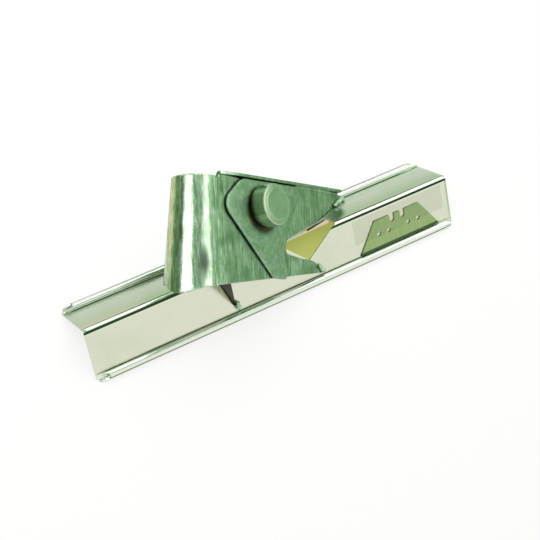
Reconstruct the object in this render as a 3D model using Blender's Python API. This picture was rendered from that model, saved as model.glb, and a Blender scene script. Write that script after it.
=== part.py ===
# Drywall edge plane: a V rail of sheet steel that rides on the edge of a board, with a skewed
# blade bed and palm grip bent from one strip, a rear strut, a screw clamp and a taped-on blade.
import math
import bpy
import bmesh
from mathutils import Matrix, Vector

# Rail, a roof of sheet steel with a rolled bead along each lower edge
RAIL_LENGTH = 0.254
RAIL_ANGLE = math.radians(90)
RAIL_SHEET = 0.001
FLANGE_WIDTH = 0.0333
RIDGE_RADIUS = 0.0028
BEAD_DIAMETER = 0.0048
BEAD_WRAP = math.radians(285)
BEAD_SCARF = 0.0075
CORNER_CLIP = 0.0015

# Mouth cut through the ridge ahead of the bed
MOUTH_FRONT = 0.028
MOUTH_REAR = 0.012
MOUTH_NEAR_REACH = 0.0162
MOUTH_NEAR_LEAD = 0.0055
MOUTH_FAR_REACH = 0.012
MOUTH_FAR_RISE = 0.002

# Bed and grip, one strip that meets the ridge at BED_FOOT ahead of the rail's middle
BED_FOOT = 0.015
BED_SKEW = math.radians(45)
BED_SLOPE = math.radians(40)
STRIP_TURN = math.radians(28)
STRIP_SHEET = 0.0016
STRIP_NEAR_REAR = 0.0325
STRIP_FAR_FRONT = 0.0312
STRIP_FAR_REAR = 0.0294
GRIP_START = 0.078
GRIP_RADIUS_NEAR = 0.0161
GRIP_RADIUS_FAR = 0.0117
GRIP_WRAP = math.radians(190)
GRIP_CORNER = 0.008
THROAT_DEPTH = 0.0115
THROAT_WIDTH = 0.0092
THROAT_CENTRE = 0.0068
NEAR_FOOT_START = 0.0195
FAR_FOOT_START = 0.0116
FOOT_GAP = 0.0008
FENCE_HEIGHT = 0.0042
FENCE_BEND = 0.001
FENCE_SETBACK = 0.0067
FENCE_END = 0.070
FENCE_RELIEF = 0.0024

# Strut under the grip
STRUT_FOOT = 0.0335
STRUT_SLANT = math.radians(25.64)
STRUT_SHEET = 0.0014
STRUT_NEAR_GAP = 0.004
STRUT_FAR_GAP = 0.0054
STRUT_TOP_NEAR = 0.0215
STRUT_TOP_FAR = 0.010

# Clamp plate and thumb screw
SCREW_ACROSS = 0.0156
SCREW_ALONG = 0.0336
SCREW_DIAMETER = 0.006
SCREW_END = 0.002
CLAMP_SHEET = 0.0016
CLAMP_TILT = math.radians(1.35)
CLAMP_NEAR = 0.0254
CLAMP_NOSE = 0.0055
CLAMP_SETBACK = 0.0043
CLAMP_BOW = 0.003
CLAMP_TOE = 0.0107
CLAMP_SHOULDER = 0.0519
CLAMP_HEEL = 0.0692
CLAMP_HEEL_INSET = 0.001
CLAMP_CORNER = 0.003
CLAMP_SHOULDER_RADIUS = 0.009
CLAMP_FENCE_GAP = 0.0007
KNOB_DIAMETER = 0.0245
KNOB_HEIGHT = 0.009
KNOB_DISH = 0.0006
KNOB_RIM = 0.0026
KNURL_COUNT = 40
KNURL_DEPTH = 0.0004
NUT_ACROSS_FLATS = 0.010
NUT_HEIGHT = 0.005

# Blade and its tape on the near flange
BLADE_SETBACK = 0.0405
BLADE_EDGE = 0.061
BLADE_BACK = 0.034
BLADE_WIDTH = 0.019
BLADE_SHEET = 0.0006
BLADE_BEVEL = 0.002
BLADE_NOTCH_PITCH = 0.008
BLADE_NOTCH_WIDTH = 0.0037
BLADE_NOTCH_DEPTH = 0.005
BLADE_HOLE = 0.0022
BLADE_HOLE_PITCH = 0.0075
BLADE_HOLE_RISE = 0.0095
TAPE_SHEET = 0.00012
TAPE_LENGTH = 0.068
TAPE_SHIFT = 0.0015
TAPE_TOP = 0.004
TAPE_BOTTOM = 0.020

# Weld beads and the clearances between pieces
WELD_RADIUS = 0.0011
WELD_LENGTH = 0.006
WELD_PAST = 0.0026
TOP_WELD_START = 0.018
TOP_WELD_LENGTH = 0.012
SEAT_GAP = 0.0003
SCREW_GAP = 0.0003
HOLE_GAP = 0.0004
CUT_SPARE = 0.002
ARC_STEP = math.radians(9)

HALF_ANGLE = RAIL_ANGLE / 2
BEAD_RADIUS = BEAD_DIAMETER / 2
BEAD_CENTRE = FLANGE_WIDTH - BEAD_RADIUS
BEAD_INNER = FLANGE_WIDTH - BEAD_DIAMETER
BLADE_PLACE = RAIL_LENGTH / 2 - BLADE_SETBACK
STRUT_LEAN = math.tan(STRUT_SLANT)


def clear_scene():
    for item in list(bpy.data.objects):
        bpy.data.objects.remove(item)


def make_material(name, colour, roughness, metallic):
    material = bpy.data.materials.new(name)
    material.use_nodes = True
    shader = material.node_tree.nodes["Principled BSDF"]
    shader.inputs["Base Color"].default_value = (*colour, 1)
    shader.inputs["Roughness"].default_value = roughness
    shader.inputs["Metallic"].default_value = metallic
    return material


def make_empty(name, axes, origin, parent=None):
    # axes are the three directions of the empty in the rail's frame
    empty = bpy.data.objects.new(name, None)
    bpy.context.collection.objects.link(empty)
    turn = Matrix(axes).transposed().to_4x4()
    empty.matrix_local = Matrix.Translation(origin) @ turn
    empty.parent = parent
    return empty


def make_object(name, bm, parent, material=None, smooth=None):
    bmesh.ops.recalc_face_normals(bm, faces=bm.faces)
    mesh = bpy.data.meshes.new(name)
    bm.to_mesh(mesh)
    bm.free()
    if smooth is not None:
        mesh.shade_smooth()
        mesh.set_sharp_from_angle(angle=smooth)
    item = bpy.data.objects.new(name, mesh)
    bpy.context.collection.objects.link(item)
    item.parent = parent
    if material is not None:
        mesh.materials.append(material)
    return item


def cut(target, cutter):
    cutter.hide_render = True
    cutter.display_type = "WIRE"
    modifier = target.modifiers.new(cutter.name, "BOOLEAN")
    modifier.operation = "DIFFERENCE"
    modifier.solver = "EXACT"
    modifier.object = cutter


def rounded(corners):
    # each corner is (x, y, radius); a radius over zero becomes an arc
    points = []
    count = len(corners)
    for index, (x, y, radius) in enumerate(corners):
        here = Vector((x, y))
        if radius <= 0:
            points.append(here)
            continue
        before = Vector(corners[index - 1][:2]) - here
        after = Vector(corners[(index + 1) % count][:2]) - here
        half = before.angle(after) / 2
        reach = radius / math.tan(half)
        reach = min(reach, 0.48 * before.length, 0.48 * after.length)
        radius = reach * math.tan(half)
        start = here + before.normalized() * reach
        end = here + after.normalized() * reach
        centre = here + (before.normalized() + after.normalized()).normalized() * (radius / math.sin(half))
        sweep = math.pi - 2 * half
        steps = max(2, math.ceil(sweep / (2 * ARC_STEP)))
        first = start - centre
        sign = 1 if first.cross(end - centre) > 0 else -1
        for step in range(steps + 1):
            turn = sign * sweep * step / steps
            points.append(centre + Matrix.Rotation(turn, 2) @ first)
    return points


def prism(points, low, high):
    # a closed solid with the outline in x and y and its height in z
    bm = bmesh.new()
    lower = [bm.verts.new((p[0], p[1], low)) for p in points]
    upper = [bm.verts.new((p[0], p[1], high)) for p in points]
    bm.faces.new(lower)
    bm.faces.new(upper)
    count = len(points)
    for index in range(count):
        after = (index + 1) % count
        bm.faces.new((lower[index], lower[after], upper[after], upper[index]))
    return bm


def along_rail(points, low, high):
    # an extrusion along the rail of an outline given in y and z
    bm = prism(points, low, high)
    for vert in bm.verts:
        y, z, x = vert.co
        vert.co = (x, y, z)
    return bm


def lathe(profile, segments):
    # profile is (radius, height, tooth depth) from the top centre to the bottom centre
    bm = bmesh.new()
    rings = []
    for radius, height, tooth in profile:
        if radius <= 0:
            rings.append([bm.verts.new((0, 0, height))])
            continue
        ring = []
        for index in range(segments):
            turn = 2 * math.pi * index / segments
            reach = radius - tooth * (index % 2)
            ring.append(bm.verts.new((reach * math.cos(turn), reach * math.sin(turn), height)))
        rings.append(ring)
    for above, below in zip(rings, rings[1:]):
        for index in range(segments):
            after = (index + 1) % segments
            if len(above) == 1:
                bm.faces.new((above[0], below[index], below[after]))
            elif len(below) == 1:
                bm.faces.new((above[index], below[0], above[after]))
            else:
                bm.faces.new((above[index], below[index], below[after], above[after]))
    return bm


def flange_point(side, down, out):
    # a point of the rail's section, down the flange from the sharp ridge and out from its face
    reach = down * math.sin(HALF_ANGLE) + out * math.cos(HALF_ANGLE)
    rise = out * math.sin(HALF_ANGLE) - down * math.cos(HALF_ANGLE)
    return Vector((side * reach, rise))


def bead_arc(radius, reverse):
    steps = math.ceil(BEAD_WRAP / (2 * ARC_STEP))
    points = []
    for step in range(steps + 1):
        turn = -math.pi / 2 + BEAD_WRAP * step / steps
        down = BEAD_CENTRE + radius * math.cos(turn)
        out = BEAD_RADIUS - RAIL_SHEET + radius * math.sin(turn)
        points.append((down, out))
    return points[::-1] if reverse else points


def ridge_arc(radius, centre_depth):
    sweep = math.pi - RAIL_ANGLE
    steps = 2 * math.ceil(sweep / (4 * ARC_STEP))
    points = []
    for step in range(steps + 1):
        turn = math.pi / 2 + sweep / 2 - sweep * step / steps
        points.append(Vector((radius * math.cos(turn), radius * math.sin(turn) - centre_depth)))
    return points


def rail_section():
    # one side runs out along the face, round the bead and back along the inner face
    side = bead_arc(BEAD_RADIUS - RAIL_SHEET, False) + bead_arc(BEAD_RADIUS, True)
    depth = RIDGE_RADIUS / math.sin(HALF_ANGLE)
    over = ridge_arc(RIDGE_RADIUS, depth)
    under = ridge_arc(RIDGE_RADIUS - RAIL_SHEET, depth)
    far = [flange_point(1, down, out) for down, out in side]
    near = [flange_point(-1, down, out) for down, out in reversed(side)]
    return over + far + under[::-1] + near


def rail_envelope():
    # the roof and beads grown by the seat gap, to trim what stands on the rail
    gap = SEAT_GAP
    top = BEAD_DIAMETER - RAIL_SHEET + gap
    side = [(BEAD_INNER - gap, gap), (BEAD_INNER - gap, top)]
    side += [(FLANGE_WIDTH + gap, top), (FLANGE_WIDTH + gap, -FLANGE_WIDTH)]
    apex = Vector((0, gap / math.sin(HALF_ANGLE)))
    far = [flange_point(1, down, out) for down, out in side[:3]]
    near = [flange_point(-1, down, out) for down, out in side[:3]]
    floor = -FLANGE_WIDTH * 2
    points = [apex] + far + [Vector((far[-1].x, floor)), Vector((near[-1].x, floor))] + near[::-1]
    return along_rail(points, -RAIL_LENGTH, RAIL_LENGTH)


def bed_axes():
    # across the strip, up the strip and out of its face
    edge = Vector((math.cos(BED_SKEW), math.sin(BED_SKEW), 0))
    level = Vector((-math.sin(BED_SKEW), math.cos(BED_SKEW), 0))
    climb = level * math.cos(BED_SLOPE) + Vector((0, 0, math.sin(BED_SLOPE)))
    across = edge * math.cos(STRIP_TURN) + climb * math.sin(STRIP_TURN)
    along = climb * math.cos(STRIP_TURN) - edge * math.sin(STRIP_TURN)
    return across, along, across.cross(along)


def strut_axes():
    level = Vector((STRUT_LEAN, 1, 0)).normalized()
    face = Vector((1, -STRUT_LEAN, STRUT_LEAN)).normalized()
    return level, face.cross(level), face


def flange_axes(side):
    # down the flange, along the rail and out of the face
    down = flange_point(side, 1, 0)
    out = flange_point(side, 0, 1)
    down = Vector((0, down.x, down.y))
    out = Vector((0, out.x, out.y))
    return down, out.cross(down), out


def on_flange(axes, side, down):
    # the point of a plane, given by its axes, that lies that far down a flange
    slope, way, flange_out = flange_axes(side)
    line = axes[2].cross(flange_out)
    line = line * (down / line.dot(slope))
    return Vector((line.dot(axes[0]), line.dot(axes[1])))


def run_on(start, through, along):
    # the point at that distance along, on the line from start through another point
    return start.lerp(through, (along - start.y) / (through.y - start.y))


def near_edge(along):
    # the strip widens evenly from its near foot to the grip
    foot = on_flange(bed_axes(), -1, BEAD_INNER - FOOT_GAP)
    return run_on(foot, Vector((-STRIP_NEAR_REAR, GRIP_START)), along).x


def far_edge(along):
    return STRIP_FAR_FRONT + (STRIP_FAR_REAR - STRIP_FAR_FRONT) * along / GRIP_START


def grip_radius(across):
    share = (across + STRIP_NEAR_REAR) / (STRIP_FAR_FRONT + STRIP_NEAR_REAR)
    return GRIP_RADIUS_NEAR + (GRIP_RADIUS_FAR - GRIP_RADIUS_NEAR) * share


def handle_outline():
    left = -THROAT_CENTRE - THROAT_WIDTH / 2
    right = -THROAT_CENTRE + THROAT_WIDTH / 2
    bed = bed_axes()
    near_foot = on_flange(bed, -1, NEAR_FOOT_START)
    far_foot = on_flange(bed, 1, FAR_FOOT_START)
    far_corner = on_flange(bed, 1, BEAD_INNER - FOOT_GAP)
    near_tip = on_flange(bed, -1, BEAD_INNER).y - CUT_SPARE
    far_tip = far_corner.y - CUT_SPARE
    throat_near = Vector((left, -THROAT_DEPTH))
    throat_far = Vector((right, THROAT_DEPTH))
    fence_front = fence_start()
    middle = (GRIP_RADIUS_NEAR + GRIP_RADIUS_FAR) / 2
    end = GRIP_START + middle * GRIP_WRAP
    fence = far_edge(FENCE_END)
    relief_end = FENCE_END + FENCE_RELIEF
    rear = far_edge(GRIP_START)
    return [
        (near_edge(near_tip), near_tip, 0),
        (run_on(throat_near, near_foot, near_tip).x, near_tip, 0),
        (*throat_near, THROAT_WIDTH),
        (left, THROAT_DEPTH, THROAT_WIDTH / 2),
        (*throat_far, THROAT_WIDTH / 2),
        (run_on(throat_far, far_foot, far_tip).x, far_tip, 0),
        (run_on(fence_front, far_corner, far_tip).x, far_tip, 0),
        (*fence_front, 0),
        (fence, FENCE_END, 0),
        (fence - FENCE_RELIEF, FENCE_END, 0),
        (fence - FENCE_RELIEF, relief_end, FENCE_RELIEF / 4),
        (far_edge(relief_end), relief_end, 0),
        (rear, GRIP_START, 0),
        (rear, end, GRIP_CORNER),
        (-STRIP_NEAR_REAR, end, GRIP_CORNER),
        (-STRIP_NEAR_REAR, GRIP_START, 0),
    ]


def fence_start():
    place = on_flange(bed_axes(), 1, BEAD_INNER - FOOT_GAP).y + FENCE_SETBACK
    return Vector((far_edge(place), place))


def turn_up_fence(bm):
    # the far edge's face is swept round a quarter bend and then drawn up
    start = fence_start().to_3d()
    end = Vector((far_edge(FENCE_END), FENCE_END, 0))
    middle = (start + end) / 2 - Vector((0, 0, STRIP_SHEET / 2))
    face = min(bm.faces, key=lambda item: (item.calc_center_median() - middle).length)
    axis = (end - start).normalized()
    centre = start + Vector((0, 0, FENCE_BEND))
    steps = 4
    for step in range(steps):
        grown = bmesh.ops.extrude_discrete_faces(bm, faces=[face])["faces"]
        face = grown[0]
        turn = Matrix.Rotation(-math.pi / 2 / steps, 3, axis)
        bmesh.ops.rotate(bm, cent=centre, matrix=turn, verts=face.verts)
    face = bmesh.ops.extrude_discrete_faces(bm, faces=[face])["faces"][0]
    bmesh.ops.translate(bm, vec=(0, 0, FENCE_HEIGHT - FENCE_BEND), verts=face.verts)


def bend_grip(bm):
    # the strip's rear wraps round a cone that is wider on the near side
    steps = math.ceil(GRIP_WRAP / ARC_STEP)
    middle = (GRIP_RADIUS_NEAR + GRIP_RADIUS_FAR) / 2
    for step in range(steps):
        place = (0, GRIP_START + middle * GRIP_WRAP * step / steps, 0)
        geometry = bm.verts[:] + bm.edges[:] + bm.faces[:]
        bmesh.ops.bisect_plane(bm, geom=geometry, dist=1e-7, plane_co=place, plane_no=(0, 1, 0))
    for vert in bm.verts:
        across, along, out = vert.co
        if along <= GRIP_START:
            continue
        turn = (along - GRIP_START) / middle
        radius = grip_radius(across)
        along = GRIP_START + (radius + out) * math.sin(turn)
        vert.co = (across, along, (radius + out) * math.cos(turn) - radius)


def weld_bead(name, base, first, second, start, end, parent, material):
    # a bead in the corner of two faces with outward directions first and second
    lift = (WELD_RADIUS + SEAT_GAP) / (1 + first.dot(second))
    offset = (first + second) * lift
    start = base + start + offset
    end = base + end + offset
    length = (end - start).length
    steps = 10
    profile = []
    for step in range(steps + 1):
        share = 1 - 2 * step / steps
        radius = WELD_RADIUS * math.sqrt(max(0, 1 - share ** 4))
        profile.append((radius, share * length / 2, 0))
    item = make_object(name, lathe(profile, 12), parent, material, math.radians(60))
    item.location = (start + end) / 2
    item.rotation_mode = "QUATERNION"
    item.rotation_quaternion = (end - start).to_track_quat("Z", "Y")
    return item


def build_rail(root, steel):
    half = RAIL_LENGTH / 2
    rail = make_object("rail", along_rail(rail_section(), -half, half), root, steel, math.radians(35))
    front = BED_FOOT + MOUTH_FRONT
    rear = BED_FOOT - MOUTH_REAR
    near_y = -MOUTH_NEAR_REACH * math.sin(HALF_ANGLE)
    far_y = MOUTH_FAR_REACH * math.sin(HALF_ANGLE)
    mouth = rounded([
        (rear, 0, 0),
        (BED_FOOT + MOUTH_NEAR_LEAD, near_y, CORNER_CLIP),
        (front, 0, 0),
        (front, far_y, CORNER_CLIP),
        (front - MOUTH_FAR_RISE, far_y, CORNER_CLIP),
        (rear + MOUTH_FAR_RISE, MOUTH_FAR_RISE, CORNER_CLIP),
    ])
    cut(rail, make_object("mouth_cut", prism(mouth, -FLANGE_WIDTH, FLANGE_WIDTH), root))
    for name, shape in (("bead_scarf_cut", bead_scarf), ("corner_cut", corner_clip)):
        trims = bmesh.new()
        for side in (1, -1):
            for end in (1, -1):
                piece = shape(end)
                turn = Matrix(flange_axes(side)).transposed().to_4x4()
                bmesh.ops.transform(piece, matrix=turn, verts=piece.verts)
                add_body(trims, piece)
        cut(rail, make_object(name, trims, root))


def bead_scarf(end):
    # a wedge that slopes the bead's end down to the flange
    half = RAIL_LENGTH / 2
    top = BEAD_DIAMETER - RAIL_SHEET
    slope = top / BEAD_SCARF
    start = half - BEAD_SCARF - CUT_SPARE
    wedge = prism([
        (end * start, top + slope * CUT_SPARE),
        (end * (half + CUT_SPARE), RAIL_SHEET / 2 - slope * CUT_SPARE),
        (end * (half + CUT_SPARE), top + CUT_SPARE),
        (end * start, top + CUT_SPARE),
    ], BEAD_INNER - SEAT_GAP, FLANGE_WIDTH + CUT_SPARE)
    for vert in wedge.verts:
        place, out, down = vert.co
        vert.co = (down, place, out)
    return wedge


def corner_clip(end):
    half = RAIL_LENGTH / 2
    return prism([
        (FLANGE_WIDTH + CUT_SPARE, end * (half + CUT_SPARE)),
        (FLANGE_WIDTH - CORNER_CLIP - CUT_SPARE, end * (half + CUT_SPARE)),
        (FLANGE_WIDTH + CUT_SPARE, end * (half - CORNER_CLIP - CUT_SPARE)),
    ], -RAIL_SHEET - CUT_SPARE, BEAD_DIAMETER)


def add_body(target, piece):
    mesh = bpy.data.meshes.new("body")
    piece.to_mesh(mesh)
    piece.free()
    target.from_mesh(mesh)
    bpy.data.meshes.remove(mesh)


def build_handle(bed, envelope, steel):
    bm = prism(rounded(handle_outline()), -STRIP_SHEET, 0)
    bmesh.ops.recalc_face_normals(bm, faces=bm.faces)
    turn_up_fence(bm)
    bend_grip(bm)
    handle = make_object("handle", bm, bed, steel, math.radians(35))
    hole = lathe_rod(SCREW_DIAMETER / 2 + HOLE_GAP, -STRIP_SHEET - CUT_SPARE, CUT_SPARE)
    drill = make_object("handle_hole", hole, bed)
    drill.location = (SCREW_ACROSS, SCREW_ALONG, 0)
    cut(handle, drill)
    cut(handle, envelope)


def lathe_rod(radius, low, high):
    return lathe([(0, high, 0), (radius, high, 0), (radius, low, 0), (0, low, 0)], 24)


def under_bed_height(level):
    # where the strut's face meets the underside of the strip, less the seat gap
    across, along, out = bed_axes()
    side, climb, face = strut_axes()
    base = Vector((-STRUT_FOOT - BED_FOOT, 0, 0)).dot(out)
    return -(base + STRIP_SHEET + SEAT_GAP + level * side.dot(out)) / climb.dot(out)


def strut_foot(side):
    # how far down a flange the strut's outer edge stands
    return BEAD_INNER - (STRUT_FAR_GAP if side > 0 else STRUT_NEAR_GAP)


def build_strut(frame, envelope, steel):
    # the side edges run on below the flanges, which trim them
    near_foot = on_flange(strut_axes(), -1, strut_foot(-1))
    far_foot = on_flange(strut_axes(), 1, strut_foot(1))
    near_top = Vector((-STRUT_TOP_NEAR, under_bed_height(-STRUT_TOP_NEAR)))
    far_top = Vector((STRUT_TOP_FAR, under_bed_height(STRUT_TOP_FAR)))
    low = min(near_foot.y, far_foot.y) - BEAD_DIAMETER
    outline = [run_on(near_top, near_foot, low), run_on(far_top, far_foot, low), far_top, near_top]
    strut = make_object("rear_strut", prism(outline, -STRUT_SHEET, 0), frame, steel)
    cut(strut, envelope)


def clamp_outline():
    nose = -CLAMP_NOSE
    front = THROAT_DEPTH + CLAMP_SETBACK
    beside = FENCE_BEND - CLAMP_FENCE_GAP
    return [
        (-CLAMP_NEAR, front - CLAMP_BOW, CLAMP_CORNER),
        (-THROAT_CENTRE - THROAT_WIDTH / 4, front, CLAMP_CORNER),
        (-THROAT_CENTRE + THROAT_WIDTH * 3 / 4, front - CLAMP_BOW, CLAMP_CORNER),
        (far_edge(nose) + beside, nose, CLAMP_CORNER),
        (far_edge(CLAMP_SHOULDER) + beside, CLAMP_SHOULDER, CLAMP_SHOULDER_RADIUS),
        (SCREW_ACROSS - CLAMP_HEEL_INSET, CLAMP_HEEL, CLAMP_CORNER),
        (-CLAMP_NEAR, front + CLAMP_TOE, CLAMP_CORNER),
    ]


def clamp_base(along):
    # height of the clamp plate's underside over the bed, on the screw's line
    return SEAT_GAP + (along + CLAMP_NOSE) * math.tan(CLAMP_TILT)


def build_clamp(bed, steel):
    plate = prism(rounded(clamp_outline()), 0, CLAMP_SHEET)
    for vert in plate.verts:
        vert.co.z += clamp_base(vert.co.y)
        vert.co -= Vector((SCREW_ACROSS, SCREW_ALONG, 0))
    axis = make_empty("clamp_axis", Matrix.Identity(3), (SCREW_ACROSS, SCREW_ALONG, 0), bed)
    clamp = make_object("clamp_plate", plate, axis, steel)
    hole = lathe_rod(SCREW_DIAMETER / 2 + HOLE_GAP, -KNOB_HEIGHT, KNOB_HEIGHT)
    cut(clamp, make_object("clamp_hole", hole, axis))
    return axis


def build_screw(axis, steel):
    radius = KNOB_DIAMETER / 2
    seat = clamp_base(SCREW_ALONG + radius) + CLAMP_SHEET + SEAT_GAP
    shank = SCREW_DIAMETER / 2
    top = seat + KNOB_HEIGHT
    low = -STRIP_SHEET - SEAT_GAP - NUT_HEIGHT - SCREW_END
    edge = KNOB_DISH * 1.6
    profile = [
        (0, top - KNOB_DISH, 0),
        (radius - KNOB_RIM - KNOB_DISH, top - KNOB_DISH, 0),
        (radius - KNOB_RIM, top, 0),
        (radius - edge, top, 0),
        (radius - edge / 3, top - edge / 3, 0),
        (radius, top - edge, KNURL_DEPTH),
        (radius, seat + edge, KNURL_DEPTH),
        (radius - edge, seat, 0),
        (shank, seat, 0),
        (shank, low + shank / 3, 0),
        (shank * 2 / 3, low, 0),
        (0, low, 0),
    ]
    make_object("thumb_screw", lathe(profile, 2 * KNURL_COUNT), axis, steel, math.radians(40))


def build_nut(axis, steel):
    corner = NUT_ACROSS_FLATS / math.sqrt(3)
    points = []
    for index in range(6):
        turn = math.pi / 3 * index
        points.append((corner * math.cos(turn), corner * math.sin(turn)))
    top = -STRIP_SHEET - SEAT_GAP
    nut = make_object("clamp_nut", prism(points, top - NUT_HEIGHT, top), axis, steel)
    bore = lathe_rod(SCREW_DIAMETER / 2 + SCREW_GAP, top - NUT_HEIGHT - CUT_SPARE, top + CUT_SPARE)
    cut(nut, make_object("nut_bore", bore, axis))


def blade_edge_line():
    return BEAD_INNER - SEAT_GAP


def blade_end(down):
    # half length of the blade at a distance down the flange
    share = (blade_edge_line() - down) / BLADE_WIDTH
    return (BLADE_EDGE + (BLADE_BACK - BLADE_EDGE) * share) / 2


def build_blade(flange, steel):
    edge = blade_edge_line()
    back = edge - BLADE_WIDTH
    inner = back + BLADE_NOTCH_DEPTH
    outline = [(edge, -BLADE_EDGE / 2, 0), (edge, BLADE_EDGE / 2, 0), (back, BLADE_BACK / 2, 0)]
    for centre in (BLADE_NOTCH_PITCH / 2, -BLADE_NOTCH_PITCH / 2):
        low = centre - BLADE_NOTCH_WIDTH / 2
        high = centre + BLADE_NOTCH_WIDTH / 2
        round_end = BLADE_NOTCH_WIDTH / 2
        outline += [(back, high, 0), (inner, high, round_end), (inner, low, round_end), (back, low, 0)]
    outline.append((back, -BLADE_BACK / 2, 0))
    bm = prism(rounded(outline), SEAT_GAP, SEAT_GAP + BLADE_SHEET)
    bevel = (edge - BLADE_BEVEL, 0, 0)
    geometry = bm.verts[:] + bm.edges[:] + bm.faces[:]
    bmesh.ops.bisect_plane(bm, geom=geometry, dist=1e-7, plane_co=bevel, plane_no=(1, 0, 0))
    middle = SEAT_GAP + BLADE_SHEET / 2
    for vert in bm.verts:
        if vert.co.x > edge - BLADE_BEVEL / 2:
            vert.co.z = middle + (vert.co.z - middle) / 8
    blade = make_object("blade", bm, flange, steel)
    blade.location = (0, BLADE_PLACE, 0)
    holes = bmesh.new()
    for step in (-2, -1, 1, 2):
        hole = lathe_rod(BLADE_HOLE / 2, -CUT_SPARE, CUT_SPARE)
        place = (edge - BLADE_HOLE_RISE, step * BLADE_HOLE_PITCH, 0)
        bmesh.ops.translate(hole, vec=place, verts=hole.verts)
        add_body(holes, hole)
    drill = make_object("blade_holes", holes, flange)
    drill.location = blade.location
    cut(blade, drill)


def build_tape(flange, film):
    # a film that lies on the flange, steps up at the blade's back and ends, and lies on it
    low = SEAT_GAP
    high = low + BLADE_SHEET + SEAT_GAP
    back = blade_edge_line() - BLADE_WIDTH
    step = high - low + SEAT_GAP
    rows = [(TAPE_TOP, low), (back - step, low), (back - SEAT_GAP, high), (TAPE_BOTTOM, high)]
    bm = bmesh.new()
    grid = []
    for down, top in rows:
        end = blade_end(max(down, back)) + SEAT_GAP
        ends = TAPE_LENGTH / 2
        columns = [(TAPE_SHIFT - ends, low), (-end - step, low), (-end, top)]
        columns += [(end, top), (end + step, low), (TAPE_SHIFT + ends, low)]
        grid.append([[bm.verts.new((down, place, out + lift)) for place, out in columns]
                     for lift in (0, TAPE_SHEET)])
    last = len(grid[0][0]) - 1
    for first, second in zip(grid, grid[1:]):
        for index in range(last):
            for layer in (0, 1):
                bm.faces.new((first[layer][index], first[layer][index + 1],
                              second[layer][index + 1], second[layer][index]))
        for index in (0, last):
            bm.faces.new((first[0][index], first[1][index], second[1][index], second[0][index]))
    for row in (grid[0], grid[-1]):
        for index in range(last):
            bm.faces.new((row[0][index], row[0][index + 1], row[1][index + 1], row[1][index]))
    tape = make_object("blade_tape", bm, flange, film)
    tape.location = (0, BLADE_PLACE, 0)


def build_welds(root, steel):
    across, along, out = bed_axes()
    side, climb, face = strut_axes()
    bed = Vector((BED_FOOT, 0, 0))
    strut = Vector((-STRUT_FOOT, 0, 0))
    limit = BEAD_INNER - WELD_RADIUS - SEAT_GAP
    for label, sign in (("near", -1), ("far", 1)):
        down, rail_way, flange_out = flange_axes(sign)
        for name, base, plane in (("front", bed, out), ("strut", strut, face)):
            line = plane.cross(flange_out)
            line = line / line.dot(down)
            end = limit if name == "front" else min(limit, strut_foot(sign) + WELD_PAST)
            weld_bead(name + "_weld_" + label, base, plane, flange_out, line * (end - WELD_LENGTH),
                      line * end, root, steel)
    crest = strut - face * STRUT_SHEET
    rise = -((crest - bed).dot(out) + STRIP_SHEET) / climb.dot(out)
    base = crest + climb * rise
    line = side - climb * (side.dot(out) / climb.dot(out))
    weld_bead("strut_weld_top", base, -face, -out, line * -TOP_WELD_START,
              line * (TOP_WELD_LENGTH - TOP_WELD_START), root, steel)


def settle(root):
    # the origin is on the floor below the middle of the whole tool
    bpy.context.view_layer.update()
    graph = bpy.context.evaluated_depsgraph_get()
    corners = []
    for item in bpy.data.objects:
        if item.type == "MESH" and not item.hide_render:
            shape = item.evaluated_get(graph)
            corners += [item.matrix_world @ vert.co for vert in shape.data.vertices]
    low = [min(corner[axis] for corner in corners) for axis in range(3)]
    high = [max(corner[axis] for corner in corners) for axis in range(3)]
    root.location = (-(low[0] + high[0]) / 2, -(low[1] + high[1]) / 2, -low[2])
    bpy.context.view_layer.update()


def main():
    clear_scene()
    zinc = make_material("zinc_plated_sheet", (0.50, 0.56, 0.47), 0.28, 1.0)
    bright = make_material("polished_rail_steel", (0.62, 0.64, 0.55), 0.16, 1.0)
    turned = make_material("turned_steel", (0.42, 0.50, 0.38), 0.32, 1.0)
    edge_steel = make_material("blade_steel", (0.34, 0.38, 0.22), 0.26, 1.0)
    weld = make_material("weld_metal", (0.45, 0.47, 0.42), 0.42, 1.0)
    film = make_material("clear_tape", (0.80, 0.80, 0.74), 0.30, 0.0)

    root = make_empty("ridge_datum", Matrix.Identity(3), (0, 0, 0))
    bed = make_empty("bed_datum", bed_axes(), (BED_FOOT, 0, 0), root)
    strut = make_empty("strut_datum", strut_axes(), (-STRUT_FOOT, 0, 0), root)
    near = make_empty("near_flange_datum", flange_axes(-1), (0, 0, 0), root)
    envelope = make_object("rail_envelope", rail_envelope(), root)

    build_rail(root, bright)
    build_handle(bed, envelope, zinc)
    build_strut(strut, envelope, zinc)
    axis = build_clamp(bed, zinc)
    build_screw(axis, turned)
    build_nut(axis, turned)
    build_blade(near, edge_steel)
    build_tape(near, film)
    build_welds(root, weld)
    settle(root)


main()
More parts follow.
